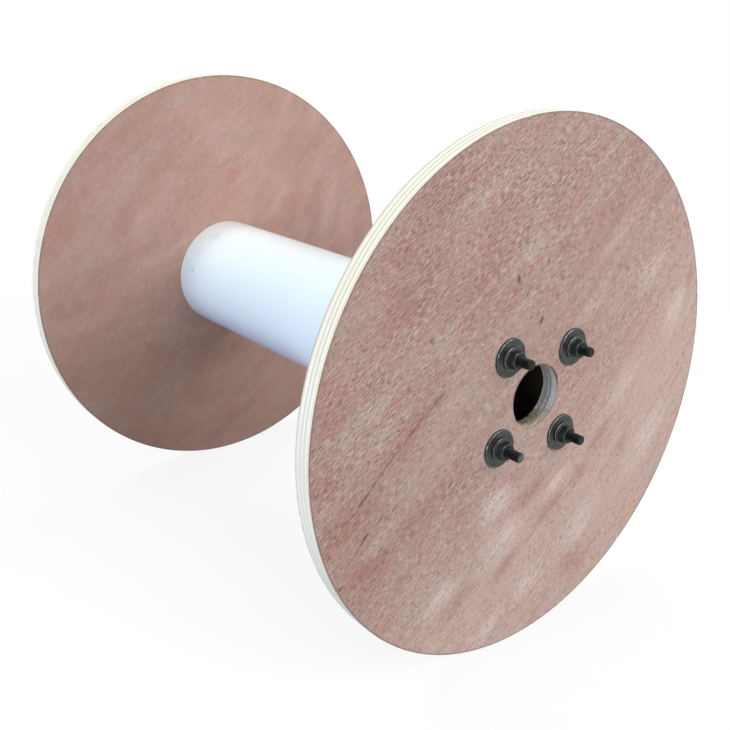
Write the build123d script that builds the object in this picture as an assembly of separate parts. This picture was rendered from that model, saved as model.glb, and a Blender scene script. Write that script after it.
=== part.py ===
from build123d import *

import math
import os

# A small cable drum: two round plywood flanges clamped on a length of plastic pipe
# by four threaded rods, each with a large washer and a collared nut at both ends.
#
# Millimetres. The drum lies on its two rims. Its axis is Y, the front flange is the
# one at -Y, +Z is up, and the origin is on the axis, midway between the flanges.

# Flanges: discs sawn from plywood sheet
flange_d = 425.0
flange_t = 14.6
bore_d = 50.0             # centre hole that takes the spindle

# Barrel: thin plastic pipe, cut square and clamped between the flanges
barrel_d = 114.0
barrel_wall = 2.6
traverse = 440.0          # clear width between the flanges, and the barrel's length

# Tie rods: 8 mm threaded rod, just inside the barrel's wall, which they keep central
rod_d = 8.0
rod_count = 4
rod_wall_gap = 0.3        # from a rod to the barrel's inner wall
rod_turn = 6.0            # degrees that the rods stand clockwise of the diagonals
rod_spare = 41.0          # length of rod that stands out of the two outer faces together
rod_hole_gap = 0.5        # round a rod in its hole through a flange
front_stand_out = (21.5, 19.0, 22.0, 22.5)   # of each rod, clockwise from the top left

# Washers: large flat ones, which spread the load on the plywood
washer_d = 30.0
washer_t = 2.0
washer_gap = 0.2          # round a rod

# Nuts: hexagon with a round collar at the foot
nut_af = 13.0             # across the flats
nut_h = 8.0
nut_gap = 0.05            # round a rod
nut_bevel = 0.9           # bevel of the top edges, measured across the flats
nut_bevel_drop = 0.5      # and down them
collar_d = 17.9
collar_t = 1.3
nut_step = 22.0           # degrees that each nut is turned from the one before

flange_r = flange_d / 2
bore_r = bore_d / 2
barrel_r = barrel_d / 2
rod_r = rod_d / 2
inner_y = traverse / 2
outer_y = inner_y + flange_t
rod_length = 2 * outer_y + rod_spare
rod_circle_r = barrel_r - barrel_wall - rod_wall_gap - rod_r


def rod_angle(index):
    """Angle of a rod, clockwise from straight up as seen from the front."""
    return -45.0 + rod_turn + index * 360.0 / rod_count


def rod_place(index):
    """Where a rod's axis crosses the X-Z plane."""
    turn = math.radians(rod_angle(index))
    return rod_circle_r * math.sin(turn), rod_circle_r * math.cos(turn)


def stand_out(index):
    """How far a rod stands out of the front flange."""
    return front_stand_out[index % len(front_stand_out)]


def facing(x, y, z, side):
    """A plane whose normal points along the drum's axis: side is -1 for front, 1 for back."""
    return Plane(origin=(x, y, z), x_dir=(1, 0, 0), z_dir=(0, side, 0))


def disc(radius, height):
    """A plain disc that stands on the X-Y plane."""
    return extrude(Circle(radius), height)


def flange(side):
    """A round board seated on the barrel's end, with the spindle bore and a hole for each rod."""
    board = disc(flange_r, flange_t) - disc(bore_r, flange_t)
    body = facing(0, side * inner_y, 0, side).location * board
    for index in range(rod_count):
        x, z = rod_place(index)
        hole = disc(rod_r + rod_hole_gap, flange_t)
        body = body - facing(x, side * inner_y, z, side).location * hole
    return body


def barrel():
    """The pipe between the flanges."""
    pipe = disc(barrel_r, traverse) - disc(barrel_r - barrel_wall, traverse)
    return facing(0, -inner_y, 0, 1).location * pipe


def tie_rod(index):
    """A threaded rod, drawn at its major diameter."""
    x, z = rod_place(index)
    return facing(x, -outer_y - stand_out(index), z, 1).location * disc(rod_r, rod_length)


def washer():
    """A large flat washer."""
    return disc(washer_d / 2, washer_t) - disc(rod_r + washer_gap, washer_t)


def nut():
    """A hexagon nut, bevelled on top, that stands on its own round collar."""
    hexagon = extrude(RegularPolygon(nut_af / 2, 6, major_radius=False), nut_h)
    top = hexagon.faces().sort_by(Axis.Z)[-1]
    hexagon = chamfer(top.edges(), nut_bevel, nut_bevel_drop, reference=top)
    return hexagon + disc(collar_d / 2, collar_t) - disc(rod_r + nut_gap, nut_h)


def seated(piece, index, side, height, turn=0.0):
    """A piece threaded on a rod, at a height above the outer face of a flange."""
    x, z = rod_place(index)
    plane = facing(x, side * (outer_y + height), z, side)
    return plane.location * Rot(0, 0, turn) * piece


def drum():
    """Every piece of the drum by name."""
    pieces = {
        "flange_front": flange(-1),
        "flange_back": flange(1),
        "barrel_tube": barrel(),
    }
    for index in range(rod_count):
        pieces[f"tie_rod_{index + 1}"] = tie_rod(index)
    for end, side in (("front", -1), ("back", 1)):
        for index in range(rod_count):
            turn = nut_step * index
            pieces[f"washer_{end}_{index + 1}"] = seated(washer(), index, side, 0.0)
            pieces[f"nut_{end}_{index + 1}"] = seated(nut(), index, side, washer_t, turn)
    return pieces


os.makedirs("parts", exist_ok=True)
for name, piece in drum().items():
    export_step(piece, f"parts/{name}.step")
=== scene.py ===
import math
import random

import bmesh
import bpy
from mathutils import Matrix, Vector, noise
from mathutils.geometry import delaunay_2d_cdt


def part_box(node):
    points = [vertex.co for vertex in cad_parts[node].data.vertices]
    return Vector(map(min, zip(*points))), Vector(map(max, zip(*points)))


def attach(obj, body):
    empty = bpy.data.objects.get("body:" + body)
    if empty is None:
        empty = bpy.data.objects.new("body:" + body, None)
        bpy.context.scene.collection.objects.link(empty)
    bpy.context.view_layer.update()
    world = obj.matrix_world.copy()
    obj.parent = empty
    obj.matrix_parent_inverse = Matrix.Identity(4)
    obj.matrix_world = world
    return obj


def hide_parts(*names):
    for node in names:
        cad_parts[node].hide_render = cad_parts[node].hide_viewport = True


# A plywood cable drum with a white plastic barrel, lying on its rims on a white floor.
# Metres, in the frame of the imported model: the drum's axis is Y, the front flange is the one
# at -Y, and +Z is up. Angles round the drum run from +X towards +Z.

MM = 0.001

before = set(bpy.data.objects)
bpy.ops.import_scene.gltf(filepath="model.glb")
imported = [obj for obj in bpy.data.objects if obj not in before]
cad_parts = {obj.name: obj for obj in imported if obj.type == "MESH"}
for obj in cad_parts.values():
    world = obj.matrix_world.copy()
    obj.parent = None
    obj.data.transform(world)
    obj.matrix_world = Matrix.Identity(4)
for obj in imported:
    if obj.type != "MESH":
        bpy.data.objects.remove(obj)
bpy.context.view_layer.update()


def span(node):
    """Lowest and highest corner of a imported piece."""
    low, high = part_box(node)
    return Vector(low), Vector(high)


# Sizes read from the frame
board_low, board_high = span("flange_front")
FLANGE_R = board_high.x
OUTER_Y = -board_low.y
BOARD_T = board_high.y - board_low.y
INNER_Y = OUTER_Y - BOARD_T
BARREL_R = span("barrel_tube")[1].x
FLOOR_Z = board_low.z

# Sizes that the frame doesn't tell
BORE_R = 25 * MM
BARREL_WALL = 2.6 * MM
ROD_COUNT = 4
ROD_R = 4 * MM
ROD_HOLE_R = 4.5 * MM
THREAD_PITCH = 1.25 * MM
THREAD_DEPTH = 0.767 * MM
WASHER_R = 15 * MM
WASHER_HOLE_R = 4.2 * MM
WASHER_T = 2 * MM
NUT_FLAT_R = 6.5 * MM            # half of the nut's width across the flats
NUT_H = 8 * MM
NUT_BORE_R = 4.05 * MM
NUT_STEP = math.radians(22)      # turn of each nut from the one before
COLLAR_R = 8.95 * MM
COLLAR_EDGE = 1.2 * MM
COLLAR_SLOPE = math.radians(22)

# Plies: a thin face veneer on each side, and seven thicker ones between them
VENEER_T = 0.4 * MM
CORE_PLIES = 7
PLY_T = (BOARD_T - 2 * VENEER_T) / CORE_PLIES
GRAIN = math.radians(38)         # direction of the face grain, from +X towards +Z
GRAIN_LEAN = 0.05                # the fibres lean a little less than the larger marks,
GRAIN_BEND = 1.0                 # and turn up towards the right
AREA_SPREAD = 1.35               # how much wider the veneer's soft areas are than their cores
FAR = 1e6                        # reach of a mark into the board, so that depth plays no part

# Edges of the boards, and how fine their meshes are
EDGE_EASE = 0.12 * MM            # wear of the rim's edges, on the face and down the side
SIDE_EASE = 0.05 * MM
GLUE_GROOVE = 0.10 * MM          # how far the glue lines lie below the plies
INNER_RAGGED = 5.0               # how many times rougher the bore's inner lip is than its outer lip
SPLINTERS = 200                  # in each bore
SHEET_GAP = 9 * MM               # between the corners of a face's triangles
RIM_STEPS = 720
BORE_STEPS = 240
HOLE_STEPS = 40

# Order of a board's materials, and the names of the drum's ends by the sign of Y
OUTER_FACE, INNER_FACE, RIM, BORE = range(4)
ENDS = {-1: "front", 1: "back"}


def linear(colour):
    """Scene-linear colour, with alpha, of an sRGB colour given as three levels from 0 to 255."""
    values = []
    for level in colour:
        share = level / 255
        values.append(share / 12.92 if share <= 0.04045 else ((share + 0.055) / 1.055) ** 2.4)
    return (*values, 1.0)


class Nodes:
    """A tree of nodes, with short names for those that are used here. Plain colours are sRGB levels."""

    def __init__(self, tree):
        self.nodes = tree.nodes
        self.links = tree.links

    def feed(self, socket, value):
        """Links an output to a socket, or sets the socket to a plain value."""
        if isinstance(value, bpy.types.NodeSocket):
            self.links.new(value, socket)
        elif socket.type != "RGBA":
            socket.default_value = value
        elif isinstance(value, tuple):
            socket.default_value = linear(value)
        else:
            socket.default_value = (value, value, value, 1.0)

    def node(self, kind, *values, **settings):
        """A new node with its settings, whose inputs are fed in their order."""
        made = self.nodes.new(f"ShaderNode{kind}")
        for name, setting in settings.items():
            setattr(made, name, setting)
        for socket, value in zip(made.inputs, values):
            self.feed(socket, value)
        return made

    def math(self, operation, *values):
        return self.node("Math", *values, operation=operation).outputs[0]

    def plus(self, first, second):
        return self.math("ADD", first, second)

    def minus(self, first, second):
        return self.math("SUBTRACT", first, second)

    def times(self, first, second):
        return self.math("MULTIPLY", first, second)

    def scaled(self, value, factor, shift):
        """The value times a factor, plus a shift."""
        return self.math("MULTIPLY_ADD", value, factor, shift)

    def axes(self, vector):
        return self.node("SeparateXYZ", vector).outputs

    def join(self, x, y, z):
        return self.node("CombineXYZ", x, y, z).outputs[0]

    def length(self, vector):
        return self.node("VectorMath", vector, operation="LENGTH").outputs["Value"]

    def noise(self, vector, scale, detail=2.0, roughness=0.5, distortion=0.0, shift=(0, 0, 0)):
        """Noise from 0 to 1: scale is its bumps to the metre, for all axes or for each one."""
        scale = scale if isinstance(scale, tuple) else (scale, scale, scale)
        place = self.node("Mapping", vector, shift, (0, 0, 0), scale).outputs[0]
        node = self.node("TexNoise", place)
        node.inputs["Scale"].default_value = 1.0
        node.inputs["Detail"].default_value = detail
        node.inputs["Roughness"].default_value = roughness
        node.inputs["Distortion"].default_value = distortion
        return node.outputs["Fac"]

    def between(self, value, start, end, low=0.0, high=1.0, smooth=True):
        """Runs from low to high as the value goes from start to end."""
        kind = "SMOOTHSTEP" if smooth else "LINEAR"
        return self.node("MapRange", value, start, end, low, high, interpolation_type=kind).outputs[0]

    def mix(self, share, first, second, blend="MIX"):
        node = self.node("Mix", share, data_type="RGBA", blend_type=blend)
        self.feed(node.inputs[6], first)
        self.feed(node.inputs[7], second)
        return node.outputs[2]

    def tinted(self, colour, tint):
        return self.mix(1.0, colour, tint, "MULTIPLY")

    def ramp(self, value, *stops):
        """A colour ramp from stops of (place, red, green, blue)."""
        node = self.node("ValToRGB", value)
        elements = node.color_ramp.elements
        while len(elements) < len(stops):
            elements.new(0.5)
        for element, (place, *colour) in zip(elements, stops):
            element.position = place
            element.color = linear(colour)
        return node.outputs["Color"]


class Shader(Nodes):
    """A new material, with the place on the drum that it colours."""

    def __init__(self, name):
        self.material = bpy.data.materials.new(name)
        self.material.use_nodes = True
        super().__init__(self.material.node_tree)
        self.surface = self.nodes["Principled BSDF"].inputs
        self.place = self.node("TexCoord").outputs["Object"]
        self.x, self.y, self.z = self.axes(self.place)

    def bump(self, height, depth, strength):
        """Relief of a height from 0 to 1, whose full range is that depth."""
        node = self.node("Bump")
        node.inputs["Strength"].default_value = strength
        node.inputs["Distance"].default_value = depth
        self.feed(node.inputs["Height"], height)
        return node.outputs[0]

    def finish(self, colour, roughness, normal, metallic=0.0, specular=0.5):
        """Sets the surface, and returns the material."""
        self.feed(self.surface["Base Color"], colour)
        self.feed(self.surface["Roughness"], roughness)
        self.feed(self.surface["Normal"], normal)
        self.surface["Metallic"].default_value = metallic
        self.surface["Specular IOR Level"].default_value = specular
        return self.material


# Places on the outer face of the front flange, in mm as the front is seen: x and z of the middle,
# half length along the grain, half width, turn from the grain in degrees, strength.
# First the dark streaks, pores and dots:
FRONT_MARKS = [
    (-170, -31, 5, 1.7, 4, 0.8),
    (-159, -21, 5, 2.0, 4, 0.85),
    (-177, -38, 16, 1.4, 5, 0.45),
    (-166, -28, 18, 1.5, 5, 0.6),
    (-149, -12, 22, 1.5, 3, 0.6),
    (-126, 7, 24, 1.5, 1, 0.55),
    (-103, 24, 16, 2.4, -3, 0.45),
    (5, 105.5, 1.9, 1.6, 0, 0.7),
    (-15.9, 84.4, 2.6, 1.6, 0, 0.65),
    (-10, 73, 2.4, 1.6, 0, 0.7),
    (1, 61, 6, 2.3, 24, 0.95),
    (-88, -46, 6, 1.4, 8, 0.7),
    (-85, -51, 5, 1.2, 8, 0.6),
    (-26, 97, 7, 2.1, 64, 0.95),
    (49, 92, 5, 1.2, 4, 0.45),
    (45, 87, 5, 1.2, 4, 0.45),
    (40, 84, 4, 1.0, 4, 0.4),
    (-141, -46, 8, 1.3, 4, 0.5),
    (-154, -50, 9, 1.4, 4, 0.6),
    (-167, -59, 8, 2.0, 6, 0.85),
    (-173, -66, 12, 1.5, 6, 0.5),
    (-148, -77, 5, 1.3, 4, 0.5),
    (-189, -91, 5, 2.0, 0, 0.7),
    (-123, -138, 2.2, 1.8, 0, 0.5),
]

# then its reddish, whitish, grey and buff areas
FRONT_RED = [
    (-197, -11, 24, 10, 0, 0.7),
    (-186, -43, 40, 17, 0, 0.65),
    (-122, 11, 46, 10, 0, 0.5),
    (-163, -88, 42, 16, 4, 0.7),
    (-120, -62, 46, 10, 0, 0.45),
    (-62, 98, 50, 16, 0, 0.45),
    (-130, 100, 40, 9, 0, 0.5),
    (-19, -64, 24, 9, 0, 0.45),
    (-2, -84, 34, 10, 0, 0.6),
    (25, -102, 30, 10, 0, 0.55),
    (63, -83, 18, 9, 0, 0.5),
    (83, -60, 38, 11, 0, 0.45),
    (118, -78, 22, 11, 0, 0.4),
    (59, -169, 24, 16, 0, 0.55),
    (-25, -139, 38, 8, 0, 0.5),
    (-75, -150, 40, 9, 0, 0.45),
    (24, 113, 16, 8, 0, 0.55),
    (61, 134, 9, 6, 0, 0.4),
    (20, 165, 40, 8, 0, 0.35),
    (192, 57, 26, 9, 30, 0.4),
]
FRONT_WHITE = [
    (138, 79, 38, 12, 0, 0.55),
    (176, 35, 34, 16, 10, 0.6),
    (-38, -78, 32, 15, 0, 0.8),
    (-28, -113, 46, 18, 0, 0.6),
    (-95, -139, 30, 11, 0, 0.65),
    (-42, -189, 30, 10, 0, 0.65),
    (32, -82, 30, 10, 0, 0.6),
    (67, -134, 46, 16, 0, 0.7),
    (154, -79, 50, 17, 0, 0.6),
    (5, -167, 32, 14, 0, 0.65),
    (86, 116, 40, 10, 0, 0.4),
    (110, -20, 50, 14, 0, 0.35),
    (60, 60, 44, 10, 0, 0.3),
]
FRONT_GREY = [
    (-4, 119, 32, 12, 0, 0.6),
    (-183, 19, 20, 8, 0, 0.6),
    (-151, 9, 22, 10, 0, 0.55),
    (-96, 63, 24, 10, 0, 0.5),
    (-169, 32, 18, 7, 0, 0.5),
    (-130, 58, 26, 6, 0, 0.4),
    (-152, -66, 30, 9, 0, 0.6),
    (62, 150, 34, 10, 0, 0.45),
    (-60, 20, 34, 7, 0, 0.3),
]
FRONT_BUFF = [
    (141, -145, 36, 9, 6, 0.7),
    (-37, -165, 26, 12, 0, 0.5),
    (172, 92, 40, 9, 22, 0.4),
    (110, 130, 40, 10, 10, 0.35),
]

# Reddish and beige areas of the back flange's inner face, in the same way
BACK_RED = [
    (15, 106, 36, 7, 0, 0.6),
    (127, 79, 22, 8, 10, 0.5),
    (4, 79, 40, 12, 0, 0.5),
    (-108, 165, 26, 8, 0, 0.45),
    (-182, 72, 26, 16, 20, 0.5),
    (88, 64, 30, 16, 0, 0.4),
    (67, 44, 30, 12, 0, 0.45),
    (-86, 92, 30, 9, 0, 0.35),
    (-150, -10, 36, 12, 0, 0.3),
]
BACK_BEIGE = [
    (-120, 101, 40, 14, 0, 0.45),
    (-89, 135, 34, 12, 0, 0.45),
    (28, 148, 36, 14, 0, 0.55),
    (-43, 195, 30, 9, 0, 0.6),
    (46, 132, 40, 10, 0, 0.35),
    (91, 160, 40, 10, 0, 0.35),
    (-156, 39, 40, 12, 0, 0.35),
]


def bend(x, z):
    """How far the fibres have swung across the marks' direction at a place, in metres."""
    along = x * math.cos(GRAIN) + z * math.sin(GRAIN)
    return GRAIN_LEAN * along - GRAIN_BEND * max(0.0, x) ** 2


def along_grain(shader):
    """The place as (along the grain, depth, across the grain)."""
    node = shader.node("VectorRotate", shader.place, rotation_type="Y_AXIS")
    node.inputs["Angle"].default_value = GRAIN
    return node.outputs[0]


def patch(shader, grained, mark, soft):
    """A mark's strength in its middle, falling to 0 at its oval edge. Soft ones follow the fibres."""
    x, z, half_length, half_width, turn, strength = mark
    along = x * math.cos(GRAIN) + z * math.sin(GRAIN)
    across = -x * math.sin(GRAIN) + z * math.cos(GRAIN)
    if soft:
        across += bend(x * MM, z * MM) / MM
        half_width *= AREA_SPREAD
    middle = (along * MM, 0, across * MM)
    lean = (0, -math.radians(turn), 0)
    reach = (half_length * MM, FAR, half_width * MM)
    oval = shader.node("Mapping", grained, middle, lean, reach, vector_type="TEXTURE").outputs[0]
    return shader.times(shader.between(shader.length(oval), 1.0, 0.0), strength)


def covered(shader, grained, marks, broken, soft=False):
    """How much of a tone lies on the face: the strongest of its marks, broken up by a texture."""
    total = 0.0
    for mark in marks:
        total = shader.math("MAXIMUM", total, patch(shader, grained, mark, soft))
    return shader.times(total, broken)


def from_axis(shader):
    """Distance from the drum's axis."""
    return shader.length(shader.join(shader.x, 0.0, shader.z))


def bent_fibres(shader, grained, seed):
    """The place along and across fibres that lean, turn up towards the right and sway a little."""
    sway = shader.scaled(shader.noise(grained, (9, 0, 9), shift=(seed, 0, 0)), 12 * MM, -6 * MM)
    along, depth, across = shader.axes(grained)
    right = shader.math("MAXIMUM", shader.x, 0.0)
    swing = shader.scaled(along, GRAIN_LEAN, across)
    swing = shader.scaled(shader.times(right, right), -GRAIN_BEND, swing)
    return shader.join(along, seed, shader.plus(swing, sway))


def chafed_lip(shader, streaks):
    """How dark the face is rubbed round the upper part of the bore."""
    ring = shader.between(from_axis(shader), BORE_R + 1.7 * MM, BORE_R + 0.7 * MM)
    ring = shader.times(ring, shader.between(streaks, 0.4, 0.56, 0.0, 0.85))
    return shader.times(ring, shader.between(shader.z, -2 * MM, 8 * MM, 0.1, 1.0))


def veneer(name, tones, seed, strokes, areas=(), marks=(), pale_and_lit=None, figure_and_shade=None, short=1.0):
    """Rotary-cut red-brown veneer: cloudy tone, fibre bands, dense short strokes and open pores.

    Strokes is how strong these are. Two functions may draw on the face: one turns it paler, partly as painted
    light, and one tints it with curved rings and painted shade.
    Short tells how many times shorter than usual the clouds and streaks run along the grain."""
    shader = Shader(name)
    grained = along_grain(shader)
    fibre = bent_fibres(shader, grained, seed)

    clouds = shader.noise(fibre, (8 * short, 1, 24), 4, 0.55, 0.6)
    streaks = shader.noise(fibre, (26 * short, 1, 150), 4, 0.65, shift=(0, 3, 0))
    broken = shader.between(streaks, 0.34, 0.6, 0.68, 1.0)
    colour = shader.ramp(clouds, *tones)
    # Paler areas: partly the veneer's own tone, partly painted light.
    if pale_and_lit:
        colour = shader.mix(pale_and_lit(shader), colour, (216, 190, 181))
    for tone, places in areas:
        colour = shader.mix(covered(shader, fibre, places, broken, soft=True), colour, tone)
    colour = shader.tinted(colour, shader.between(streaks, 0.3, 0.7, 0.93, 1.07, False))
    # Painted shade, in part: this tint can darken one side of the face.
    if figure_and_shade:
        colour = shader.tinted(colour, figure_and_shade(shader))

    zone = shader.noise(fibre, (7, 1, 13), shift=(0, 7, 0))
    strength = shader.between(zone, 0.3, 0.7, 0.7 * strokes, 1.15 * strokes)
    if pale_and_lit:
        strength = shader.times(strength, shader.between(pale_and_lit(shader), 0.0, 0.6, 1.0, 0.8))
    hue = shader.noise(fibre, (13 * short, 1, 110), 3, 0.65, shift=(0, 23, 0))
    red = shader.between(hue, 0.51, 0.66, 0.0, 0.62)
    colour = shader.mix(shader.times(red, strength), colour, (182, 124, 114))
    grey = shader.between(hue, 0.48, 0.33, 0.0, 0.62)
    colour = shader.mix(shader.times(grey, strength), colour, (192, 178, 166))
    lines = shader.noise(fibre, (44, 1, 1000), 3, 0.65, shift=(0, 13, 0))
    lined = shader.tinted(colour, shader.between(lines, 0.3, 0.7, 0.72, 1.22, False))
    colour = shader.mix(strength, colour, lined)
    fine = shader.noise(fibre, (172, 1, 1150), 4, 0.74, shift=(0, 11, 0))
    dark = shader.between(fine, 0.50, 0.36)
    light = shader.between(fine, 0.51, 0.64)
    pores = shader.between(shader.noise(fibre, (240, 1, 950), 2, 0.6, shift=(0, 17, 0)), 0.58, 0.68)
    for share, tone in ((dark, (122, 80, 74)), (light, (216, 192, 182)), (pores, (96, 62, 56))):
        colour = shader.mix(shader.times(share, strength), colour, tone)

    if marks:
        speckle = shader.noise(grained, (260, 1, 420), shift=(0, 29, 0))
        share = covered(shader, grained, marks, shader.between(speckle, 0.3, 0.55, 0.6, 1.0))
        colour = shader.mix(share, colour, (52, 34, 29))
        colour = shader.mix(chafed_lip(shader, streaks), colour, (84, 56, 48))
    worn = shader.between(from_axis(shader), FLANGE_R - 2.0 * MM, FLANGE_R - 0.5 * MM, 0.0, 0.6)
    colour = shader.mix(worn, colour, (118, 104, 90))

    relief = shader.minus(shader.minus(light, dark), pores)
    normal = shader.bump(shader.scaled(relief, strength, streaks), 0.08 * MM, 0.5)
    roughness = shader.between(clouds, 0.3, 0.7, 0.62, 0.78)
    return shader.finish(colour, roughness, normal, specular=0.32)


def pale_lit_lower_right(shader):
    """How pale the front face turns towards its lower right: partly paler veneer, partly painted light."""
    slope = shader.minus(shader.x, shader.times(shader.z, 1.1))
    slope = shader.plus(slope, shader.between(shader.z, -50 * MM, -190 * MM, 0.0, 70 * MM))
    return shader.between(slope, -80 * MM, 220 * MM, 0.0, 0.66)


def rings_and_painted_shade(shader):
    """Tone of the back flange's inner face: curved grain rings on the right, and painted shade that darkens
    it towards the left.
    """
    heart = shader.join(shader.minus(shader.x, 240 * MM), 0.0, shader.times(shader.z, 0.8))
    wave = shader.node("TexWave", heart, wave_type="RINGS", rings_direction="SPHERICAL")
    wave.inputs["Scale"].default_value = 9
    wave.inputs["Distortion"].default_value = 3.5
    wave.inputs["Detail"].default_value = 2
    near = shader.between(shader.x, 20 * MM, 150 * MM)
    rings = shader.between(shader.times(wave.outputs["Fac"], near), 0, 1, 1.02, 0.92, False)
    # Painted shade: darker towards the left of the face.
    return shader.times(rings, shader.between(shader.x, -200 * MM, 140 * MM, 0.9, 1.08))


def board_depth(shader, waves, sway):
    """Depth below a board's outer face, with plies that waver by the sway either way."""
    depth = shader.minus(OUTER_Y, shader.math("ABSOLUTE", shader.y))
    return shader.plus(depth, shader.scaled(shader.noise(shader.place, waves), 2 * sway, -sway))


def sawn_plies():
    """The sawn rim of the board: its plies by depth, end and side grain by the way they face."""
    shader = Shader("sawn_rim")
    depth = board_depth(shader, 16, 0.4 * MM)
    ply = shader.math("DIVIDE", shader.minus(depth, VENEER_T), PLY_T)
    even = shader.minus(1.0, shader.math("MODULO", shader.math("FLOOR", ply), 2.0))
    part = shader.math("FRACT", ply)

    lined_up = shader.scaled(shader.z, math.sin(GRAIN), shader.times(shader.x, math.cos(GRAIN)))
    lined_up = shader.math("DIVIDE", lined_up, from_axis(shader))
    end_grain = shader.minus(even, shader.times(lined_up, lined_up))
    end_grain = shader.between(shader.math("ABSOLUTE", end_grain), 0.2, 0.75, 0.0, 0.3)
    end_grain = shader.scaled(even, 0.6, end_grain)

    fibres = shader.noise(shader.place, (140, 2600, 140), 3, 0.6)
    specks = shader.noise(shader.place, 900, 2, 0.6)
    blotch = shader.noise(shader.place, (30, 90, 30), 3, 0.6, shift=(5, 0, 0))
    texture = shader.mix(end_grain, fibres, specks)
    colour = shader.mix(end_grain, (242, 245, 243), (206, 212, 210))
    colour = shader.tinted(colour, shader.between(texture, 0.25, 0.75, 0.93, 1.04, False))
    colour = shader.mix(shader.between(blotch, 0.5, 0.8, 0.0, 0.35), colour, (236, 231, 221))
    # Painted light: the rim is tinted creamier towards its top, as if lit warmly from above.
    painted_warm_light = shader.mix(shader.between(shader.z, 0.0, 150 * MM), (255, 255, 255), (255, 251, 237))
    colour = shader.tinted(colour, painted_warm_light)
    line = shader.math("MAXIMUM", shader.between(part, 0.08, 0.0), shader.between(part, 0.92, 1.0))
    line = shader.times(line, shader.between(blotch, 0.35, 0.65, 0.15, 0.8))
    colour = shader.mix(line, colour, (180, 180, 177))

    edge = shader.math("MINIMUM", depth, shader.minus(BOARD_T, depth))
    pink = shader.between(edge, VENEER_T + 2.1 * MM, VENEER_T + 1.7 * MM, 0.0, 0.5)
    colour = shader.mix(pink, colour, (240, 228, 222))
    face_veneer = shader.between(edge, VENEER_T, 0.5 * VENEER_T, 0.0, 0.8)
    inner_line = shader.between(depth, BOARD_T - 1.0 * MM, BOARD_T - 0.7 * MM, 0.0, 0.8)
    colour = shader.mix(shader.math("MAXIMUM", face_veneer, inner_line), colour, (140, 142, 136))
    normal = shader.bump(shader.minus(texture, line), 0.15 * MM, 0.5)
    return shader.finish(colour, 0.72, normal, specular=0.3)


def bore_plies():
    """The bore's wall: pale plies with dark glue lines, and torn straw with crumbs along the bottom."""
    shader = Shader("bore_wall")
    z = shader.z
    share = shader.math("DIVIDE", board_depth(shader, (50, 0, 50), 0.6 * MM), BOARD_T)
    plies = shader.ramp(share, (0.0, 126, 92, 84), (0.03, 222, 212, 210), (0.08, 246, 248, 250),
                        (0.25, 252, 254, 255), (0.42, 242, 247, 252), (0.46, 108, 112, 124),
                        (0.51, 214, 216, 222), (0.68, 224, 225, 229), (0.72, 144, 145, 154),
                        (0.77, 196, 196, 202), (1.0, 226, 226, 230))
    straw = shader.ramp(share, (0.0, 150, 118, 104), (0.06, 226, 212, 194), (0.4, 204, 196, 174),
                        (0.62, 160, 152, 122), (1.0, 112, 104, 78))
    saw = shader.noise(shader.place, (700, 120, 700), 3, 0.65)
    specks = shader.noise(shader.place, 900, 3, 0.65)
    colour = shader.mix(shader.between(z, 8 * MM, 23 * MM, 0.0, 0.75), plies, (186, 188, 178))
    low = shader.scaled(saw, 8 * MM, z)
    low = shader.scaled(shader.between(share, 0.1, 0.7), 7 * MM, low)
    colour = shader.mix(shader.between(low, -5 * MM, -15 * MM), colour, straw)
    colour = shader.tinted(colour, shader.between(saw, 0.25, 0.75, 0.84, 1.1, False))
    lip = shader.times(shader.between(share, 0.11, 0.05), shader.between(z, -6 * MM, 6 * MM))
    lip = shader.times(lip, shader.between(specks, 0.4, 0.55, 0.25, 1.0))
    colour = shader.mix(lip, colour, (84, 56, 48))
    strewn = shader.between(z, 0.0, -20 * MM, 0.15, 0.9)
    strewn = shader.times(strewn, shader.between(share, 0.2, 0.75, 0.25, 1.0))
    crumbs = shader.times(shader.between(specks, 0.5, 0.6), strewn)
    colour = shader.mix(crumbs, colour, (78, 60, 34))
    normal = shader.bump(shader.plus(saw, specks), 0.2 * MM, 0.5)
    return shader.finish(colour, 0.75, normal, specular=0.3)


# Smudges on the pipe: place in metres, radius, strength
SMUDGES = [
    ((-0.0546, 0.1955, 0.0165), 4.5 * MM, 0.3),
    ((-0.0276, 0.1925, 0.0499), 10 * MM, 0.12),
]


def white_pipe():
    """Smooth white plastic with painted shade that makes it bluer and darker underneath, a painted highlight
    near its ends, faint lines from extrusion and grey smudges.
    """
    shader = Shader("white_plastic")
    lines = shader.noise(shader.place, (420, 3, 420), 3, 0.6)
    haze = shader.noise(shader.place, (8, 5, 8), 1)
    # Painted shade: bluer and darker towards the bottom of the pipe, whiter at the top.
    height = shader.between(shader.z, -BARREL_R, BARREL_R, 0.0, 1.0, False)
    colour = shader.ramp(height, (0.0, 192, 214, 255), (0.23, 201, 222, 255), (0.4, 212, 231, 255),
                         (0.58, 217, 235, 255), (0.74, 223, 243, 253), (0.88, 231, 247, 253),
                         (1.0, 240, 250, 252))
    colour = shader.tinted(colour, shader.between(haze, 0.2, 0.8, 0.97, 1.01))
    from_middle = shader.math("ABSOLUTE", shader.y)
    # Painted highlight: paler and pinker close to each end, for the bright line where the pipe meets the
    # flanges.
    end_highlight = shader.between(from_middle, INNER_Y - 2.4 * MM, INNER_Y - 1.0 * MM, 0.0, 0.8)
    colour = shader.mix(end_highlight, colour, (255, 248, 246))
    for place, size, strength in SMUDGES:
        gap = shader.node("VectorMath", shader.place, place, operation="DISTANCE").outputs["Value"]
        colour = shader.mix(shader.between(gap, size, 0.2 * size, 0.0, strength), colour, (150, 152, 172))
    normal = shader.bump(lines, 0.01 * MM, 0.2)
    return shader.finish(colour, shader.between(haze, 0.2, 0.8, 0.17, 0.21), normal, specular=0.4)


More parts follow.
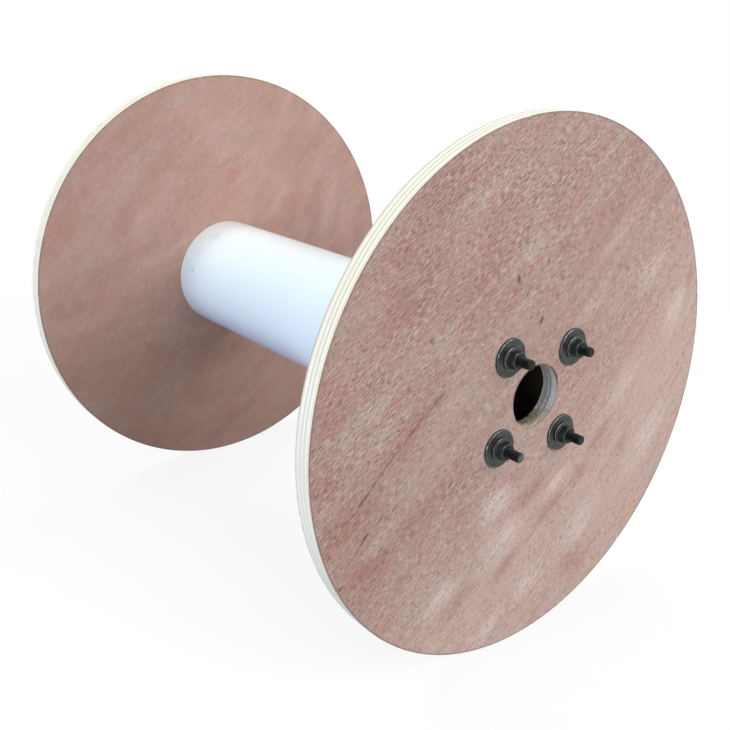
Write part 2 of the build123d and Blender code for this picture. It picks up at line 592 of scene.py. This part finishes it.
def dark_inner_plastic():
    """The inside of the pipe: dark brown, and never in the light."""
    shader = Shader("dark_inner_plastic")
    mottle = shader.noise(shader.place, (60, 25, 60), 4, 0.6)
    colour = shader.ramp(mottle, (0.35, 58, 51, 42), (0.75, 84, 75, 62))
    return shader.finish(colour, 0.7, shader.bump(mottle, 0.1 * MM, 0.3), specular=0.2)


def zinc(name, dark, light, violet, roughness):
    """Dull grey-green zinc with cloudy patches and a little violet in them."""
    shader = Shader(name)
    clouds = shader.noise(shader.place, 260, 4, 0.6, 0.4)
    grime = shader.noise(shader.place, 900, 3, 0.6, shift=(4, 0, 0))
    sheen = shader.noise(shader.place, 70, shift=(9, 0, 0))
    colour = shader.ramp(clouds, (0.3, *dark), (0.7, *light))
    colour = shader.mix(shader.between(sheen, 0.5, 0.68, 0.0, 0.5), colour, violet)
    colour = shader.mix(shader.between(sheen, 0.46, 0.3, 0.0, 0.5), colour, (34, 42, 44))
    colour = shader.mix(shader.between(grime, 0.55, 0.75, 0.0, 0.4), colour, (40, 42, 38))
    dull = shader.between(clouds, 0.3, 0.7, roughness, roughness + 0.12)
    return shader.finish(colour, dull, shader.bump(grime, 0.04 * MM, 0.3), metallic=0.5)


def worn_zinc():
    """Zinc rubbed bright on the rounded edges of washers and nuts."""
    shader = Shader("worn_zinc")
    rubbed = shader.noise(shader.place, 420, 3, 0.6, shift=(2, 0, 0))
    colour = shader.ramp(rubbed, (0.35, 60, 65, 65), (0.65, 118, 123, 122))
    return shader.finish(colour, 0.24, shader.bump(rubbed, 0.03 * MM, 0.3), metallic=0.9)


def dark_steel():
    """Oily black thread, greyer where it is rubbed."""
    shader = Shader("dark_rod")
    tone_noise = shader.noise(shader.place, 300, 4, 0.6)
    rubbed = shader.noise(shader.place, 120, 3, 0.6, shift=(3, 0, 0))
    colour = shader.ramp(tone_noise, (0.3, 9, 11, 12), (0.75, 25, 28, 27))
    colour = shader.mix(shader.between(rubbed, 0.6, 0.78, 0.0, 0.3), colour, (80, 88, 84))
    dull = shader.between(tone_noise, 0.3, 0.7, 0.42, 0.62)
    return shader.finish(colour, dull, shader.bump(tone_noise, 0.04 * MM, 0.4), metallic=0.5)


def dark_nut_top():
    """The top of a nut, near black."""
    shader = Shader("dark_nut_top")
    tone_noise = shader.noise(shader.place, 700, 3, 0.6)
    colour = shader.ramp(tone_noise, (0.35, 22, 24, 25), (0.75, 46, 48, 47))
    return shader.finish(colour, 0.5, shader.bump(tone_noise, 0.03 * MM, 0.4), metallic=0.4)


def sawn_tip(name, dark, light):
    """The end of a rod, where it was cut."""
    shader = Shader(name)
    marks = shader.noise(shader.place, (1600, 300, 200), 3, 0.6)
    colour = shader.ramp(marks, (0.3, *dark), (0.7, *light))
    return shader.finish(colour, 0.45, shader.bump(marks, 0.05 * MM, 0.5), metallic=0.7)


def piece(name, bm, materials, slot, *nodes):
    """A finished object from a bmesh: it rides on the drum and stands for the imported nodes."""
    bmesh.ops.recalc_face_normals(bm, faces=bm.faces)
    mesh = bpy.data.meshes.new(name)
    bm.to_mesh(mesh)
    bm.free()
    for material in materials:
        mesh.materials.append(material)
    mesh.shade_smooth()
    mesh.set_sharp_from_angle(angle=math.radians(32))
    made = bpy.data.objects.new(name, mesh)
    bpy.context.scene.collection.objects.link(made)
    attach(made, "root")
    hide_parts(*nodes)
    return made


def skin(bm, rings, closed=False, material=0):
    """Faces between rings of as many vertices each. A closed skin joins the last ring to the first."""
    pairs = list(zip(rings, rings[1:]))
    if closed:
        pairs.append((rings[-1], rings[0]))
    for first, second in pairs:
        count = len(first)
        for i in range(count):
            j = (i + 1) % count
            face = bm.faces.new((first[i], first[j], second[j], second[i]))
            face.material_index = material


def at(size, angle):
    """A size at an angle: it may be a number or a function of the angle."""
    return size(angle) if callable(size) else size


def turned(profile, steps, place):
    """A closed skin from a profile of (radius, height), where place puts (x, y, height) in the frame."""
    bm = bmesh.new()
    rings = []
    for radius, height in profile:
        ring = []
        for i in range(steps):
            angle = 2 * math.pi * i / steps
            r = at(radius, angle)
            ring.append(bm.verts.new(place(r * math.cos(angle), r * math.sin(angle), at(height, angle))))
        rings.append(ring)
    skin(bm, rings, closed=True)
    return bm


def paint(bm, steps, first, last, material):
    """Gives the bands of a turned piece from first up to last another material."""
    bm.faces.ensure_lookup_table()
    for index in range(first * steps, last * steps):
        bm.faces[index].material_index = material


def eased(radius, height, ease, count=5):
    """A rounded outer edge of a turned profile, from its side up to its top."""
    points = []
    for k in range(count + 1):
        turn = math.radians(90 * k / count)
        points.append((radius - ease + ease * math.cos(turn), height - ease + ease * math.sin(turn)))
    return points


def rough(x, y, z):
    """Smooth noise from -1 to 1, whose bumps are about 1 across."""
    return noise.noise(Vector((x, y, z)))


# Chips out of the veneer at a board's rim: angle round the drum in degrees, half width in
# degrees, depth in mm. Each board has a list for its outer face and one for its inner face
FRONT_CHIPS = (
    [(97, 0.7, 0.6), (133, 0.4, 0.5), (205.7, 0.6, 0.9), (214, 0.7, 0.5), (306, 0.6, 0.6), (12, 0.5, 0.5)],
    [(40, 0.6, 0.8), (118, 0.5, 0.6), (190, 0.6, 0.9), (275, 0.7, 0.7)],
)
BACK_CHIPS = (
    [(75, 0.6, 0.7), (151, 0.5, 0.6), (233, 0.7, 0.9), (320, 0.5, 0.6)],
    [(95.2, 0.6, 1.5), (60, 0.5, 0.5), (160, 0.6, 0.6), (250, 0.7, 0.7), (341, 0.5, 0.5)],
)

# Notches torn out of the lips of the bores, in the same way
FRONT_LIPS = (
    [(28, 4, 1.2), (12, 3, 0.6), (215, 6, 0.5), (48, 3, 0.5)],
    [(214, 5, 1.2), (240, 5, 0.6), (4, 2, 0.8), (358, 2, 0.6), (12, 2, 0.6)],
)
BACK_LIPS = (
    [(70, 5, 0.8), (190, 4, 0.6)],
    [(130, 6, 0.7), (300, 4, 0.6)],
)


def off_middle(angle, middle, half):
    """How far an angle is from the middle of a chip or notch, in shares of its half width."""
    return abs((math.degrees(angle) - middle + 180) % 360 - 180) / half


def chip_depth(angle, chips):
    """How far the veneer's edge is broken back at an angle round the rim."""
    x, z = math.cos(angle), math.sin(angle)
    depth = 0.10 * MM * (1 + rough(x * 60, z * 60, 0))
    depth += 0.25 * MM * max(0.0, rough(x * 22, z * 22, 9) - 0.35)
    for middle, half, deep in chips:
        gap = off_middle(angle, middle, half)
        if gap < 1:
            depth += deep * MM * (1 - gap) ** 0.7
    return depth


def ply_profile(groove):
    """Depths and insets of a sawn edge across the board, where each ply stands proud of its glue lines."""
    rows = []
    for k in range(CORE_PLIES):
        start = VENEER_T + k * PLY_T
        inset = groove * (0.5 if k % 2 else 0.15)
        rows += [(start + 0.05 * MM, groove), (start + 0.3 * MM, inset), (start + 0.5 * PLY_T, 0.6 * inset)]
        rows += [(start + PLY_T - 0.3 * MM, inset)]
    rows.append((BOARD_T - VENEER_T - 0.05 * MM, groove))
    return rows


def torn_edge(angle, seed, notches, ragged=1.0):
    """How far the bore's lip is torn back at an angle, outwards from the bore's wall."""
    x, z = math.cos(angle), math.sin(angle)
    depth = 0.10 * MM * rough(x * 9, z * 9, seed) + 0.12 * MM * rough(x * 31, z * 31, seed)
    depth = 0.12 * MM + ragged * depth
    for middle, half, deep in notches:
        gap = off_middle(angle, middle, half)
        if gap < 1:
            depth += deep * MM * (1 - gap * gap)
    return max(0.02 * MM, depth)


def rim_edge(angle, chips, ease, share):
    """Radius of the rim near a face: eased back, and by a share of the chips' depth."""
    return FLANGE_R - ease - share * chip_depth(angle, chips)


def rim_wall(angle, depth, inset):
    """Radius of the rim's sawn wall."""
    x, z = math.cos(angle), math.sin(angle)
    return FLANGE_R - inset - 0.03 * MM * (1 + rough(x * 40, z * 40, 400 * depth))


def bore_wall(angle, depth, inset):
    """Radius of the bore's sawn wall, which is rougher along the bottom."""
    x, z = math.cos(angle), math.sin(angle)
    low = max(0.0, -z) ** 2
    ragged = rough(x * 14, depth * 900, z * 14) + 0.6 * rough(x * 40, depth * 2200, z * 40)
    return BORE_R + inset + (0.07 + 0.4 * low) * MM * (1 + ragged)


def rod_centres():
    """Where each rod's axis crosses the X-Z plane."""
    centres = []
    for index in range(ROD_COUNT):
        low, high = span(f"tie_rod_{index + 1}")
        centres.append(((low.x + high.x) / 2, (low.z + high.z) / 2))
    return centres


def sheet_points():
    """Places spread over a face of the board, clear of the rods' holes."""
    centres = [Vector(centre) for centre in rod_centres()]
    clear = ROD_HOLE_R + 2.5 * MM
    rings = int((FLANGE_R - BORE_R) / SHEET_GAP)
    places = []
    for k in range(1, rings):
        radius = BORE_R + k * (FLANGE_R - BORE_R) / rings
        count = int(2 * math.pi * radius / SHEET_GAP)
        for i in range(count):
            angle = 2 * math.pi * (i + 0.5 * (k % 2)) / count
            place = Vector((radius * math.cos(angle), radius * math.sin(angle)))
            if min((place - centre).length for centre in centres) > clear:
                places.append(place)
    return places


def face_sheet(bm, rim, bore, holes, y, material):
    """Fills a flat face of the board between its rim, its bore and the rods' holes."""
    points = []
    edges = []
    owners = []
    for loop in [rim, bore, *holes]:
        start = len(points)
        for i, vertex in enumerate(loop):
            points.append(Vector((vertex.co.x, vertex.co.z)))
            owners.append(vertex)
            edges.append((start + i, start + (i + 1) % len(loop)))
    spread = sheet_points()
    points += spread
    owners += [None] * len(spread)
    hole_of = {vertex: number for number, hole in enumerate(holes) for vertex in hole}

    found = delaunay_2d_cdt(points, edges, [], 0, 1e-9)
    places, triangles, sources = found[0], found[2], found[3]
    made = []
    for place, source in zip(places, sources):
        owner = owners[source[0]] if source else None
        made.append(owner if owner is not None else bm.verts.new((place.x, y, place.y)))
    for triangle in triangles:
        middle = sum((places[i] for i in triangle), Vector((0, 0))) / 3
        on_board = inside_loop(middle, rim) and not inside_loop(middle, bore)
        corners = [made[i] for i in triangle]
        holes_met = {hole_of.get(corner) for corner in corners}
        in_hole = len(holes_met) == 1 and None not in holes_met
        if on_board and not in_hole:
            bm.faces.new(corners).material_index = material


def inside_loop(point, loop):
    """Whether a point of the face lies within a ring of vertices that goes round the axis."""
    angle = math.atan2(point.y, point.x) % (2 * math.pi)
    index = int(angle / (2 * math.pi) * len(loop)) % len(loop)
    first, second = loop[index].co, loop[(index + 1) % len(loop)].co
    a, b = Vector((first.x, first.z)), Vector((second.x, second.z))
    return (b - a).cross(point - a) > 0


def board(name, side, materials, chips, lips):
    """A flange: side is -1 for the front and 1 for the back. Materials: outer face, inner face, rim, bore."""
    bm = bmesh.new()
    outer_chips, inner_chips = chips
    outer_lip, inner_lip = lips

    def ring(steps, radius, depth, centre=(0.0, 0.0)):
        made = []
        for i in range(steps):
            angle = 2 * math.pi * i / steps
            r = at(radius, angle)
            x = centre[0] + r * math.cos(angle)
            z = centre[1] + r * math.sin(angle)
            made.append(bm.verts.new((x, side * (OUTER_Y - depth), z)))
        return made

    def plies(steps, wall):
        rings = []
        for depth, inset in ply_profile(GLUE_GROOVE):
            rings.append(ring(steps, lambda a: wall(a, depth, inset), depth))
        return rings

    def outer_torn(angle):
        return torn_edge(angle, 1, outer_lip)

    def inner_torn(angle):
        return torn_edge(angle, 5, inner_lip, INNER_RAGGED)

    rim = [ring(RIM_STEPS, lambda a: rim_edge(a, outer_chips, EDGE_EASE, 1.0), 0.0)]
    rim.append(ring(RIM_STEPS, lambda a: rim_edge(a, outer_chips, SIDE_EASE, 0.8), EDGE_EASE))
    rim += plies(RIM_STEPS, rim_wall)
    rim.append(ring(RIM_STEPS, lambda a: rim_edge(a, inner_chips, SIDE_EASE, 0.8), BOARD_T - EDGE_EASE))
    rim.append(ring(RIM_STEPS, lambda a: rim_edge(a, inner_chips, EDGE_EASE, 1.0), BOARD_T))
    skin(bm, rim, material=RIM)

    bore = [ring(BORE_STEPS, lambda a: BORE_R + outer_torn(a), 0.0)]
    bore.append(ring(BORE_STEPS, lambda a: BORE_R + 0.5 * outer_torn(a), 0.4 * MM))
    bore += plies(BORE_STEPS, bore_wall)
    bore.append(ring(BORE_STEPS, lambda a: BORE_R + 0.6 * inner_torn(a), BOARD_T - 0.5 * MM))
    bore.append(ring(BORE_STEPS, lambda a: BORE_R + inner_torn(a), BOARD_T))
    skin(bm, bore, material=BORE)

    outer_holes = []
    inner_holes = []
    for centre in rod_centres():
        outer_holes.append(ring(HOLE_STEPS, ROD_HOLE_R, 0.0, centre))
        inner_holes.append(ring(HOLE_STEPS, ROD_HOLE_R, BOARD_T, centre))
        skin(bm, [outer_holes[-1], inner_holes[-1]], material=BORE)

    face_sheet(bm, rim[0], bore[0], outer_holes, side * OUTER_Y, OUTER_FACE)
    face_sheet(bm, rim[-1], bore[-1], inner_holes, side * INNER_Y, INNER_FACE)
    add_splinters(bm, side)
    return piece(name, bm, materials, "plywood", name.replace("board", "flange"))


def add_splinters(bm, side):
    """Torn fibres that stand out from the bore's wall, most of them low down."""
    dice = random.Random(17 + side)
    buried = 0.25 * MM
    for _ in range(SPLINTERS):
        angle = math.radians(dice.gauss(266, 36))
        depth = BOARD_T * dice.uniform(0.08, 0.98)
        length = dice.uniform(0.5, 2.2) * MM
        width = dice.uniform(0.1, 0.3) * MM
        lean = dice.uniform(-0.7, 0.7)
        outward = Vector((math.cos(angle), 0, math.sin(angle)))
        tangent = Vector((-math.sin(angle), 0, math.cos(angle)))
        root = outward * (BORE_R + buried)
        root.y = side * (OUTER_Y - depth)
        tip = root - outward * (buried + 0.6 * length) + tangent * lean * length
        tip.y += side * dice.uniform(-0.3, 0.3) * length
        back = root - tangent * width * 0.5
        across = Vector((0, width, 0))
        base = [bm.verts.new(corner) for corner in (root + tangent * width, back + across, back - across)]
        point = bm.verts.new(tip)
        bm.faces.new(base).material_index = BORE
        for i in range(3):
            bm.faces.new((base[i], base[(i + 1) % 3], point)).material_index = BORE


def pipe(outside, inside):
    """The barrel, cut square, with a small bevel on the edges of each end."""
    bevel = 0.5 * MM
    inner_bevel = 0.2 * MM
    inner_r = BARREL_R - BARREL_WALL
    bands = 22
    steps = 256
    profile = [(BARREL_R - bevel, -INNER_Y)]
    for k in range(bands + 1):
        profile.append((BARREL_R, -INNER_Y + bevel + k * (2 * INNER_Y - 2 * bevel) / bands))
    profile.append((BARREL_R - bevel, INNER_Y))
    profile.append((inner_r + inner_bevel, INNER_Y))
    outer_count = len(profile)
    for k in range(bands + 1):
        profile.append((inner_r, INNER_Y - inner_bevel - k * (2 * INNER_Y - 2 * inner_bevel) / bands))
    profile.append((inner_r + inner_bevel, -INNER_Y))
    bm = turned(profile, steps, lambda x, y, h: (x, h, y))
    paint(bm, steps, outer_count, len(profile), 1)
    return piece("barrel_pipe", bm, [outside, inside], "white_plastic", "barrel_tube")


def axis_place(index, side, base):
    """Puts a turned piece on a rod: base is its foot's distance from the drum's middle plane."""
    cx, cz = rod_centres()[index]
    return lambda x, y, h: (cx + x, side * (base + h), cz + y)


def washer(index, side, materials):
    """A punched washer: rounded over on the side that was struck, sharp on the other."""
    burr = 0.1 * MM
    ease = 0.3 * MM
    steps = 128
    profile = [(WASHER_HOLE_R, burr), (WASHER_HOLE_R + burr, 0.0),
               (WASHER_R - 0.15 * MM, 0.0), (WASHER_R, 0.12 * MM)]
    edge = len(profile)
    profile += eased(WASHER_R, WASHER_T, 0.9 * MM, 7)
    flat = len(profile)
    profile += [(WASHER_R - 1.8 * MM, WASHER_T), (COLLAR_R, WASHER_T)]
    for k in range(4):
        turn = math.radians(90 - 90 * k / 3)
        radius = WASHER_HOLE_R + ease - ease * math.cos(turn)
        profile.append((radius, WASHER_T - ease + ease * math.sin(turn)))
    bm = turned(profile, steps, axis_place(index, side, OUTER_Y))
    paint(bm, steps, edge, flat - 3, 1)
    node = f"washer_{ENDS[side]}_{index + 1}"
    return piece(f"{node}_plate", bm, materials, "zinc_plate", node)


def hexagon_radius(angle, flat_radius, rounding):
    """Distance from a hexagon's middle to its edge, with corners rounded off by that much."""
    turn = (angle + math.pi / 6) % (math.pi / 3) - math.pi / 6
    return min(flat_radius / math.cos(turn), flat_radius / math.cos(math.pi / 6) - rounding)


def nut(index, side, materials):
    """A collared nut, bevelled on top. Materials: sides, collar, top, the collar's edge, bevel."""
    collar, top, rubbed, bevelled = range(1, 5)
    steps = 120
    turn = -side * index * NUT_STEP + math.pi / 6
    foot = 0.25 * MM
    sink = 0.4 * MM
    shoulder = COLLAR_R - 0.62 * MM

    def hexed(angle):
        return hexagon_radius(angle - turn, NUT_FLAT_R, 0.12 * MM)

    def collar_top(radius):
        return COLLAR_EDGE + foot + (COLLAR_R - 0.55 * MM - radius) * math.tan(COLLAR_SLOPE)

    def bevel_height(radius):
        return NUT_H - max(0.0, radius - 6.15 * MM) * math.tan(math.radians(30))

    profile = [(NUT_BORE_R, sink), (NUT_BORE_R + sink, 0.0), (COLLAR_R - foot, 0.0), (COLLAR_R, foot)]
    edge = len(profile)
    profile += eased(COLLAR_R, COLLAR_EDGE + foot, 0.55 * MM)
    slope = len(profile)
    profile += [
        (shoulder, collar_top(shoulder)),
        (lambda a: hexed(a) + foot, lambda a: collar_top(hexed(a) + foot)),
        (lambda a: hexed(a) + 0.06 * MM, lambda a: collar_top(hexed(a)) + 0.08 * MM),
        (hexed, lambda a: collar_top(hexed(a)) + 0.3 * MM),
    ]
    bevel = len(profile)
    profile += [
        (hexed, lambda a: bevel_height(hexed(a)) - 0.1 * MM),
        (lambda a: hexed(a) - 0.05 * MM, lambda a: bevel_height(hexed(a) - 0.05 * MM)),
        (6.2 * MM, NUT_H - 0.02 * MM),
    ]
    top_start = len(profile)
    profile += [
        (6.0 * MM, NUT_H),
        (NUT_BORE_R + sink + 0.15 * MM, NUT_H),
        (NUT_BORE_R + sink, NUT_H - 0.05 * MM),
        (NUT_BORE_R, NUT_H - 0.5 * MM),
    ]
    bm = turned(profile, steps, axis_place(index, side, OUTER_Y + WASHER_T))
    paint(bm, steps, edge, slope - 1, rubbed)
    # Painted shade: the collar's slope and the groove at the hexagon's foot take a darker zinc.
    paint(bm, steps, slope, slope + 3, collar)
    paint(bm, steps, bevel + 1, top_start - 1, bevelled)
    paint(bm, steps, top_start, len(profile), top)
    node = f"nut_{ENDS[side]}_{index + 1}"
    return piece(f"{node}_hexagon", bm, materials, "zinc_plate", node)


def threaded_rod(index, material, tip):
    """A rod with its whole thread, bevelled at both tips."""
    low, high = span(f"tie_rod_{index + 1}")
    start, end = low.y, high.y
    cx, cz = rod_centres()[index]
    steps = 24
    rows = [(0.0, 0.0), (0.125, 0.0), (0.44, 1.0), (0.69, 1.0)]
    turns = int((end - start) / THREAD_PITCH) + 3
    tip_r = 3.2 * MM
    tip_slope = 1.0
    bm = bmesh.new()

    def vertex(step, row):
        part, deep = rows[row]
        y = start + (step / steps + part - 1.5) * THREAD_PITCH
        inside = min(max(y, start), end)
        cone = tip_r + tip_slope * min(inside - start, end - inside)
        radius = min(ROD_R - deep * THREAD_DEPTH, cone)
        if y != inside:
            radius = tip_r
        angle = 2 * math.pi * step / steps
        return bm.verts.new((cx + radius * math.cos(angle), inside, cz + radius * math.sin(angle)))

    count = turns * steps
    grid = [[vertex(step, row) for row in range(len(rows))] for step in range(count)]
    for step in range(count - steps - 1):
        here = grid[step] + [grid[step + steps][0]]
        after = grid[step + 1] + [grid[step + 1 + steps][0]]
        for row in range(len(rows)):
            bm.faces.new((here[row], here[row + 1], after[row + 1], after[row]))
    bmesh.ops.remove_doubles(bm, verts=bm.verts, dist=1e-6)
    bmesh.ops.dissolve_degenerate(bm, edges=bm.edges, dist=1e-6)
    open_edges = [e for e in bm.edges if e.is_boundary]
    bmesh.ops.holes_fill(bm, edges=open_edges, sides=0)
    for face in bm.faces:
        middle = face.calc_center_median()
        if len(face.verts) > 8 and min(middle.y - start, end - middle.y) < 0.05 * MM:
            face.material_index = 1
    loose = [v for v in bm.verts if not v.link_faces]
    bmesh.ops.delete(bm, geom=loose, context="VERTS")
    return piece(f"tie_rod_{index + 1}_thread", bm, [material, tip], "dark_rod", f"tie_rod_{index + 1}")


def build_drum():
    """Every visible piece of the drum."""
    rim = sawn_plies()
    bore = bore_plies()
    tones = [(0.28, 160, 126, 117), (0.42, 174, 143, 134), (0.58, 178, 153, 145), (0.75, 192, 168, 158)]
    soft_tones = [(0.28, 174, 137, 125), (0.5, 183, 148, 136), (0.74, 192, 160, 149)]
    front_areas = [((158, 100, 90), FRONT_RED), ((232, 217, 211), FRONT_WHITE),
                   ((190, 179, 168), FRONT_GREY), ((208, 168, 144), FRONT_BUFF)]
    back_areas = [((182, 122, 108), BACK_RED), ((182, 162, 148), BACK_BEIGE)]
    front_outer = veneer("veneer_front_outer", tones, 2.0, 0.8, front_areas, FRONT_MARKS, pale_lit_lower_right)
    front_inner = veneer("veneer_front_inner", soft_tones, 31.0, 0.35, short=2.0)
    back_outer = veneer("veneer_back_outer", tones, 57.0, 0.75)
    back_inner = veneer("veneer_back_inner", soft_tones, 83.0, 0.22, back_areas, figure_and_shade=rings_and_painted_shade, short=2.0)
    board("board_front", -1, [front_outer, front_inner, rim, bore], FRONT_CHIPS, FRONT_LIPS)
    board("board_back", 1, [back_outer, back_inner, rim, bore], BACK_CHIPS, BACK_LIPS)
    pipe(white_pipe(), dark_inner_plastic())

    plate = zinc("zinc_washer", (40, 45, 43), (74, 79, 73), (52, 58, 64), 0.3)
    body = zinc("zinc_nut", (22, 26, 26), (48, 53, 51), (34, 38, 45), 0.36)
    # Painted shade for the groove at the foot of the nuts' hexagons: a darker, rougher zinc.
    groove_shade = zinc("zinc_groove_shade", (20, 24, 25), (46, 51, 48), (34, 37, 45), 0.42)
    bevel = zinc("zinc_bevel", (40, 46, 48), (84, 92, 94), (56, 60, 74), 0.4)
    worn = worn_zinc()
    nut_finish = [body, groove_shade, dark_nut_top(), worn, bevel]
    steel = dark_steel()
    dark_tip = sawn_tip("rod_tip_dark", (14, 16, 16), (36, 39, 38))
    pale_tip = sawn_tip("rod_tip_pale", (52, 60, 54), (104, 114, 104))
    tips = [dark_tip, dark_tip, dark_tip, pale_tip]
    for index in range(ROD_COUNT):
        threaded_rod(index, steel, tips[index])
        for side in ENDS:
            washer(index, side, [plate, worn])
            nut(index, side, nut_finish)


# The photo's camera, fitted to both flanges: azimuth and elevation of the view, focal length in
# pixels, the optical axis's row, and the near face's middle in flange radii (right, down, ahead)
PHOTO_SIZE = 730
VIEW_AZIMUTH = math.radians(38.86)
VIEW_ELEVATION = math.radians(19.0)
FOCAL_PX = 934.2
AXIS_ROW = 328.07
FACE_RIGHT, FACE_DOWN, FACE_AHEAD = 0.612, 0.2443, 3.3465
SENSOR_MM = 36.0


def add_camera():
    right = Vector((math.cos(VIEW_AZIMUTH), -math.sin(VIEW_AZIMUTH), 0))
    level = Vector((math.sin(VIEW_AZIMUTH), math.cos(VIEW_AZIMUTH), 0))
    ahead = level * math.cos(VIEW_ELEVATION) - Vector((0, 0, math.sin(VIEW_ELEVATION)))
    up = right.cross(ahead)
    near_face = Vector((0, -OUTER_Y, 0))
    data = bpy.data.cameras.new("camera")
    data.sensor_width = SENSOR_MM
    data.lens = FOCAL_PX * SENSOR_MM / PHOTO_SIZE
    data.shift_y = (AXIS_ROW - PHOTO_SIZE / 2) / PHOTO_SIZE
    data.clip_start, data.clip_end = 0.01, 100
    camera = bpy.data.objects.new("camera", data)
    bpy.context.scene.collection.objects.link(camera)
    camera.matrix_world = Matrix((right, up, -ahead)).transposed().to_4x4()
    camera.location = near_face - FLANGE_R * (FACE_RIGHT * right - FACE_DOWN * up + FACE_AHEAD * ahead)
    bpy.context.scene.camera = camera


SKY_TINT = (0.96, 0.985, 1.0, 1.0)


def seen_or_mirrored(tree):
    """1 for rays that show the backdrop: from the camera, off a gloss or through glass."""
    path = tree.node("LightPath").outputs
    total = tree.math("MAXIMUM", path["Is Camera Ray"], path["Is Glossy Ray"])
    return tree.math("MAXIMUM", total, path["Is Transmission Ray"])


def add_world():
    """White where it is seen, and soft light that falls off towards the floor."""
    world = bpy.data.worlds.new("studio")
    world.use_nodes = True
    world.node_tree.nodes.clear()
    tree = Nodes(world.node_tree)
    height = tree.axes(tree.node("TexCoord").outputs["Generated"])["Z"]
    light = tree.node("Background")
    light.inputs["Color"].default_value = SKY_TINT
    tree.feed(light.inputs["Strength"], tree.between(height, -0.2, 0.9, 0.12, 0.55, False))
    seen = tree.node("Background", 1.0)
    choice = tree.node("MixShader", seen_or_mirrored(tree), light.outputs[0], seen.outputs[0])
    tree.node("OutputWorld", choice.outputs[0])
    bpy.context.scene.world = world


def add_floor():
    """A wide white floor that keeps a soft shadow near the drum and turns plain white further off."""
    half = 30.0
    mesh = bpy.data.meshes.new("floor")
    corners = [(-half, -half, FLOOR_Z), (half, -half, FLOOR_Z), (half, half, FLOOR_Z), (-half, half, FLOOR_Z)]
    mesh.from_pydata(corners, [], [(0, 1, 2, 3)])
    material = bpy.data.materials.new("studio_floor")
    material.use_nodes = True
    material.node_tree.nodes.clear()
    tree = Nodes(material.node_tree)
    seen = seen_or_mirrored(tree)
    away = tree.length(tree.node("TexCoord").outputs["Object"])
    plain = tree.times(seen, tree.between(away, 0.45, 1.3, 0.84, 1.0))
    matt = tree.node("BsdfDiffuse", tree.between(seen, 0.0, 1.0, 0.25, 0.97, False))
    white = tree.node("Emission")
    lift = tree.node("MixShader", plain, matt.outputs[0], white.outputs[0])
    tree.node("OutputMaterial", lift.outputs[0])
    mesh.materials.append(material)
    floor = bpy.data.objects.new("floor", mesh)
    bpy.context.scene.collection.objects.link(floor)


# Soft square lamps that point at the drum's middle: place and side in metres, power in watts
LAMPS = {
    "front_lamp": ((0.3, -2.2, 1.2), 1.2, 27),
    "right_lamp": ((1.5, -2.0, 1.2), 0.8, 17.5),
    "left_lamp": ((-1.9, 0.1, 0.1), 1.0, 20),
    "fill_lamp": ((-1.6, -1.2, 0.2), 0.6, 5.5),
    "edge_lamp": ((-1.0, 0.6, 1.6), 0.4, 7),
    "top_lamp": ((0.9, 0.3, 2.0), 1.2, 14),
}


def add_lamps():
    for name, (place, size, power) in LAMPS.items():
        data = bpy.data.lights.new(name, "AREA")
        data.size = size
        data.energy = power
        lamp = bpy.data.objects.new(name, data)
        bpy.context.scene.collection.objects.link(lamp)
        lamp.location = place
        lamp.rotation_mode = "QUATERNION"
        lamp.rotation_quaternion = (-Vector(place)).to_track_quat("-Z", "Y")


build_drum()
add_camera()
add_world()
add_floor()
add_lamps()
bpy.context.scene.view_settings.view_transform = "Standard"
